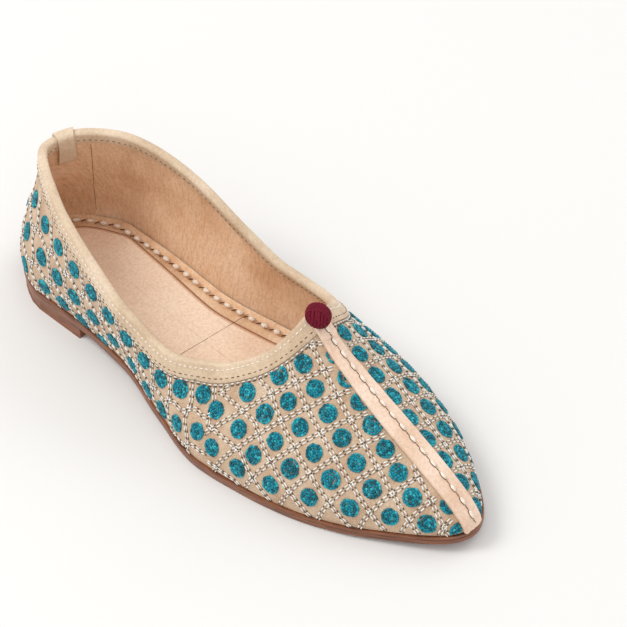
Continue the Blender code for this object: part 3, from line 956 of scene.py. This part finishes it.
def lattice_place(zone, side, c, k):
    """Place (around, rise, valid) of coordinates in the vamp's or the quarter's lattice."""
    c, k = np.broadcast_arrays(np.asarray(c, float), np.asarray(k, float))
    if zone == "vamp":
        across, ahead = vamp_cell(side, c, k)
        a, r, good = spot_on_vamp(across * MM, ahead * MM)
        low, high = (ZONE_BORDER, 1) if side < 0 else (1, 2 - ZONE_BORDER)
        inside = (a > low) & (a < high)
    else:
        a, drop = quarter_cell(side, c, k)
        column = np.rint(np.mod(a, 2) * TOE_COLUMN).astype(int)
        whole = NET_DROP[np.clip(column, 0, NET_COLUMNS), 0]
        r = rise_at_drop(a, np.minimum(drop, whole))
        good = (drop < whole) & (k > -1.6)
        inside = a <= ZONE_BORDER if side < 0 else a >= 2 - ZONE_BORDER
    return a, r, good & inside


def distance_from_strip(a, r):
    """Distance from the middle line of the strip at the same rise."""
    middle = upper_point(np.ones_like(a), r)
    return np.linalg.norm(upper_point(a, r) - middle, axis=1)


def on_cloth(a, r, margin):
    """True for places that neither the binding, the strip nor the sole covers."""
    below_binding = drop_at(a, r) > BINDING_DROP + margin + 1.1 * MM
    clear = (np.abs(a - 1) > 0.25) | (distance_from_strip(a, r) > strip_half(r) + margin)
    return below_binding & (r > 0.012) & clear


# Rosettes: short stitches in rings round the middle of every cell, in one of three shades.
DOTS_APART = 8.2 * MM
RINGS = ((0.0, 1), (1.15, 6), (2.2, 12), (3.2, 17))
SHADES = [0, 0, 0, 0, 1, 2, 2]
dots = []
for zone, side in ZONES:
    on_vamp = zone == "vamp"
    for c in range(-1, 7) if on_vamp else range(4):
        for k in range(-5, 10) if on_vamp else range(-1, 12):
            a, r, good = lattice_place(zone, side, [c], [k])
            if good[0]:
                dots.append((a[0], r[0]))
dots = np.array(dots)
spread = upper_point(*dots.T)
keep = []
for i in range(len(dots)):
    if all(np.linalg.norm(spread[i] - spread[j]) > DOTS_APART for j in keep):
        keep.append(i)
points, alongs, shades = [], [], []
for a0, r0 in dots[keep]:
    centre, normal, up = (v[0] for v in upper_frame(np.array([a0]), np.array([r0])))
    side_way = np.cross(up, normal)
    scale = chance.uniform(0.93, 1.06)
    twist = chance.uniform(0, 6.28)
    for radius, count in RINGS:
        for n in range(count):
            angle = twist + 2 * math.pi * n / count + radius
            reach = (radius + chance.normal(0, 0.10)) * scale * MM
            offset = side_way * math.cos(angle) * reach + up * math.sin(angle) * reach * 1.04
            points.append(centre + offset)
            alongs.append(up * math.cos(angle) - side_way * math.sin(angle))
            shades.append(chance.choice(SHADES, 1)[0])
points, alongs, shades = map(np.array, (points, alongs, shades))


def seat(points, height):
    """Move points on to the upper, each from its nearest net point in three refining steps."""
    flat = NET.reshape(-1, 3)
    near = np.array([np.argmin(((flat - point) ** 2).sum(1)) for point in points])
    a, r = NET_AROUND[near // (NET_ROWS + 1)], NET_RISE[near % (NET_ROWS + 1)]
    step = 1e-3
    for _ in range(3):
        here, above = upper_point(a, r), np.minimum(r + step, 1)
        da = (upper_point(a + step, r) - here) / step
        dr = (upper_point(a, above) - upper_point(a, above - step)) / step
        miss = points - here
        aa, ar, rr = (da * da).sum(1), (da * dr).sum(1), (dr * dr).sum(1)
        ma, mr = (miss * da).sum(1), (miss * dr).sum(1)
        det = aa * rr - ar * ar + 1e-12
        a = a + np.clip((ma * rr - mr * ar) / det, -0.02, 0.02)
        r = np.clip(r + np.clip((mr * aa - ma * ar) / det, -0.05, 0.05), 0, 1)
    return a, r, skin(a, r, height)


a, r, points = seat(points, 0.28 * MM)
open_cloth = on_cloth(a, r, 0.2 * MM)
points, alongs, shades = points[open_cloth], alongs[open_cloth], shades[open_cloth]
normals = upper_frame(a[open_cloth], r[open_cloth])[1]
count = len(points)
stitches(
    "teal_rosettes", points, alongs, normals, chance.uniform(1.55, 2.0, count),
    chance.uniform(1.15, 1.5, count), chance.uniform(0.9, 1.3, count),
    [teal_thread, pale_teal_thread, deep_teal_thread], "embroidered_cloth", shades,
)

# Lattice: two running threads side by side on every line, white above, and grey beads in the gaps
# between stitches that are painted shade of the silver thread's underside.
LATTICE_PITCH, LATTICE_STITCH = 2.9, 2.4
PAIR_HALF = 0.62 * MM
SHORTEST_RUN = 4
white, grey = [], []
for zone, side in ZONES:
    if zone == "vamp":
        ks, cs = np.linspace(-5.5, 9.5, 240), np.linspace(-1.5, 6.5, 150)
        lines = [(np.full_like(ks, c + 0.5), ks) for c in range(-2, 6)]
        lines += [(cs, np.full_like(cs, k + 0.5)) for k in range(-5, 9)]
    else:
        ks, cs = np.linspace(-1.5, 11.5, 300), np.linspace(-0.45, 3.5, 90)
        lines = [(c + 0.5 + 0.07 * np.sin(2 * math.pi * ks), ks) for c in range(3)]
        lines += [(cs, k + 0.5 + 0.06 * np.sin(2 * math.pi * cs)) for k in range(-2, 12)]
    for c, k in lines:
        a, r, good = lattice_place(zone, side, c, k)
        whole = np.flatnonzero(good)
        for run in np.split(whole, np.flatnonzero(np.diff(whole) > 1) + 1):
            if len(run) < SHORTEST_RUN:
                continue
            spots, *ways = seam(a[run], r[run], LATTICE_PITCH, LATTICE_STITCH, 0.0)
            shown = on_cloth(*ways[2:], 0.5 * MM)
            spots, along, normal = spots[shown], ways[0][shown], ways[1][shown]
            ahead = unit(along)
            for offset in (-PAIR_HALF, PAIR_HALF):
                put = spots + np.cross(normal, ahead) * offset
                white.append((put, along, normal))
                grey.append((put + ahead * LATTICE_PITCH * MM / 2, along, normal))


def joined(parts, lift):
    points, alongs, normals = map(np.concatenate, zip(*parts))
    return points + normals * lift, alongs, normals


points, alongs, normals = joined(white, 0.30 * MM)
relief_up = chance.normal(0, 0.05 * MM, (len(points), 1)) * normals
count = len(points)
stitches(
    "silver_lattice_stitches", points + relief_up, alongs, normals,
    chance.uniform(2.4, 2.75, count), chance.uniform(0.56, 0.70, count), 0.60,
    [silver_thread], "embroidered_cloth",
)
# Grey beads halfway between the silver stitches: painted shade of the silver thread, not a thread
# of their own.
points, alongs, normals = joined(grey, 0.12 * MM)
stitches(
    "lattice_gap_painted_shade", points, alongs, normals, 1.25, 0.7, 0.5,
    [shade_thread], "embroidered_cloth",
)


# Seams of the trim.
def trim_row(name, drop, pitch, length, width, height, look, lift, slot):
    """Row of stitches round the rim, a drop in millimetres below it, and none on the strip."""
    around = np.linspace(0, 2, 900)
    rise = rise_at_drop(around, np.full_like(around, drop * MM))
    spots, along, normal, a, r = seam(around, rise, pitch, length, lift)
    shown = distance_from_strip(a, r) > 4.5 * MM
    spots, along, normal = spots[shown], along[shown], normal[shown]
    stitches(name, spots, along, normal, length, width, height, [look], slot)


over_binding = FIT_GAP + BINDING_THICK
below = BINDING_DROP / MM
for row in (
    ("binding_edge_silver", below + 0.75, 2.6, 2.0, 0.7, 0.8,
     silver_thread, 0.30 * MM, "embroidered_cloth"),
    # Grey-brown row just below the silver one: painted shade of the silver thread.
    ("binding_edge_painted_shade", below + 1.5, 2.6, 2.1, 0.65, 0.6,
     shade_thread, 0.20 * MM, "embroidered_cloth"),
    ("binding_top_stitches", 1.7, 2.3, 1.7, 0.6, 0.5,
     cream_thread, over_binding + 0.05 * MM, "trim_leather"),
    ("binding_low_stitches", 5.6, 2.6, 1.7, 0.45, 0.35,
     brown_thread, over_binding + 0.03 * MM, "trim_leather"),
    ("binding_fold_stitches", 2.6, 2.5, 1.5, 0.5, 0.45,
     brown_thread, -WALL - over_binding - 0.02 * MM, "trim_leather"),
):
    trim_row(*row)

# Chain of cream stitches down the strip, each end tied with a short brown thread; a larger brown
# bead under each stitch is a painted shadow round it.
rises = np.linspace(0.955, 0.05, 300)
shares = np.full_like(rises, STRIP_STITCH_LINE)
places = strip_around(shares, rises)
line = skin(places, rises, strip_top(shares, rises))
spots, along = spaced(line, 6.0, 3.9)
nearest = np.array([np.argmin(((line - spot) ** 2).sum(1)) for spot in spots])
normals = upper_frame(places[nearest], rises[nearest])[1]
for name, ahead, lift, length, width, height, look in (
    ("strip_stitches", 0.0, 0.60, 4.1, 1.45, 1.1, cream_thread),
    ("strip_ties", 0.77, 0.10, 2.1, 0.4, 0.4, brown_thread),
    # Larger brown bead sunk under each cream stitch: painted shadow outlining it.
    ("strip_stitch_painted_shade", 0.0, 0.22, 4.6, 1.8, 0.5, brown_thread),
):
    stitches(
        name, spots + along * ahead + normals * lift * MM, along, normals,
        length, width, height, [look], "trim_leather",
    )

# Seams of the counter lining inside the quarters.
rise = np.linspace(0.10, 0.90, 300)
for name, place in zip(("lining_seam_outer", "lining_seam_inner"), COUNTER_SEAM):
    around = place + 0.010 * np.sin(rise * 2.4)
    spots, along, normal = seam(around, rise, 1.2, 1.0, -WALL - 0.35 * MM)[:3]
    stitches(
        name, spots, along, normal, 1.7, 0.45, 0.4, [brown_thread], "embroidered_cloth",
    )

# Two rows of brown stitches down the sides of the back strap.
drops = np.linspace(0.4 * MM, STRAP_OUTSIDE - 0.8 * MM, 60)
strap_face = 2 * FIT_GAP + BINDING_THICK + STRAP_THICK
for index, part in enumerate((-0.36, 0.36)):
    around = place_on_rim(np.full_like(drops, -STRAP_SHIFT + part * STRAP_WIDTH))
    line = skin(around, rise_at_drop(around, drops), strap_face)
    spots, along = spaced(line, 2.2, 1.6)
    normals = np.repeat(upper_frame(around[:1], np.array([0.9]))[1], len(spots), 0)
    stitches(
        f"strap_stitches_{index}", spots, along, normals, 1.6, 0.5, 0.5,
        [brown_thread], "trim_leather",
    )


# Thread ball at the throat, pressed on to the strip.
KNOT_PRESS, KNOT_SHIFT = 1.0 * MM, 1.3 * MM
point, normal, up = upper_frame(np.array([1.0]), np.array([1.0]))
cover = 2 * FIT_GAP + BINDING_THICK + STRIP_THICK + 0.3 * STRIP_ROLL
knot_axis = Vector(normal[0])
knot_centre = Vector(point[0]) + knot_axis * (cover - KNOT_PRESS + 0.38 * KNOT_HEIGHT)
knot_centre -= Vector(up[0]) * KNOT_BACK + Vector((KNOT_SHIFT, 0, 0))
knot_side = (Vector((1, 0, 0)) - knot_axis * knot_axis.x).normalized()
knot_ahead = knot_axis.cross(knot_side)
# Tilt and spin in degrees, width by the ball's, number of threads
KNOT_BANDS = ((12, 0, 0.78, 6), (74, 50, 0.50, 5), (62, -66, 0.34, 4))

# The ball is wound in three bands of parallel threads that cross over one another.
work = bmesh.new()
bmesh.ops.create_uvsphere(work, u_segments=40, v_segments=24, radius=0.46)
for band, (tilt, spin, width, threads) in enumerate(KNOT_BANDS):
    turn = Matrix.Rotation(math.radians(spin), 4, "Z")
    turn @= Matrix.Rotation(math.radians(tilt), 4, "X")
    for n in range(threads):
        height = (n / (threads - 1) - 0.5) * width
        ring = math.sqrt(0.25 - height**2) - 0.03 + 0.028 * band
        before = set(work.verts)
        upright = Matrix.Translation((ring - 0.02, 0, height))
        upright @= Matrix.Rotation(math.pi / 2, 4, "X")
        section = bmesh.ops.create_circle(work, radius=0.070, segments=7, matrix=upright)["verts"]
        edges = list({e for v in section for e in v.link_edges})
        bmesh.ops.spin(
            work, geom=section + edges, cent=(0, 0, 0), axis=(0, 0, 1),
            angle=2 * math.pi, steps=36, use_merge=True,
        )
        made = [v for v in work.verts if v not in before]
        bmesh.ops.transform(work, matrix=turn, verts=made)
bmesh.ops.recalc_face_normals(work, faces=work.faces)
place = Matrix((knot_side, knot_ahead, knot_axis)).transposed().to_4x4()
place.translation = knot_centre
size = Matrix.Diagonal((0.86 * KNOT_WIDTH, 0.86 * KNOT_WIDTH, 0.74 * KNOT_HEIGHT, 1))
bmesh.ops.transform(work, matrix=place @ size, verts=work.verts)
mesh = mesh_from(work, "throat_knot_threads")
mesh.shade_smooth()
add_piece("throat_knot_threads", mesh, [crimson_thread], "wound_thread", "throat_knot")


# Studio.
work = bmesh.new()
bmesh.ops.create_grid(work, x_segments=1, y_segments=1, size=3.0)
floor_mesh = mesh_from(work, "floor")
floor = bpy.data.objects.new("floor", floor_mesh)
scene.collection.objects.link(floor)
paper, _, shader, _ = start("matt_white_backdrop_paper", 0.9)
shader.inputs["Base Color"].default_value = paint("#E4E2DF")
floor_mesh.materials.append(paper)

world = bpy.data.worlds.new("soft_room")
scene.world = world
world.use_nodes = True
background = world.node_tree.nodes["Background"]
background.inputs["Color"].default_value = paint("#F5F6F8")
background.inputs["Strength"].default_value = 0.90


def softbox(name, place, size, power, tint):
    """Round area light that faces the middle of the shoe."""
    lamp = bpy.data.lights.new(name, "AREA")
    lamp.shape = "DISK"
    lamp.size = size
    lamp.energy = power
    lamp.color = paint(tint)[:3]
    holder = bpy.data.objects.new(name, lamp)
    holder.location = place
    towards = Vector((0, 0, 0.03)) - Vector(place)
    holder.rotation_euler = towards.to_track_quat("-Z", "Y").to_euler()
    scene.collection.objects.link(holder)


softbox("key", (-0.60, 0.70, 1.35), 0.75, 11.0, "#FFFDFA")
softbox("fill", (-0.7, -1.1, 1.0), 1.2, 3.5, "#FCFDFF")
softbox("side", (1.1, -0.2, 1.0), 1.0, 3.5, "#FFFFFF")

# Camera: the shoe's toe points down to the right, seen from 45 degrees above.
azimuth, elevation, roll = (math.radians(v) for v in (-39.15, 45.2, -6.04))
distance, focal = 1.0387, 2545.1
picture, sensor = 627, 36
off_right, off_up = picture / 2 - 246.35, 381.97 - picture / 2
back = Vector((
    math.sin(azimuth) * math.cos(elevation),
    -math.cos(azimuth) * math.cos(elevation),
    math.sin(elevation),
))
level_right = Vector((math.cos(azimuth), math.sin(azimuth), 0))
level_up = back.cross(level_right)
right = level_right * math.cos(roll) + level_up * math.sin(roll)
up = level_up * math.cos(roll) - level_right * math.sin(roll)
position = back * distance + Vector((TO_MIDDLE, 0, 0))
look_back = (back * focal - right * off_right - up * off_up).normalized()
view_up = (up - look_back * up.dot(look_back)).normalized()
view_right = view_up.cross(look_back)
camera_data = bpy.data.cameras.new("camera")
camera_data.sensor_width = sensor
camera_data.lens = focal / picture * sensor
camera = bpy.data.objects.new("camera", camera_data)
placed = Matrix((view_right, view_up, look_back)).transposed().to_4x4()
placed.translation = position
camera.matrix_world = placed
scene.collection.objects.link(camera)
scene.camera = camera
scene.view_settings.view_transform = "Standard"
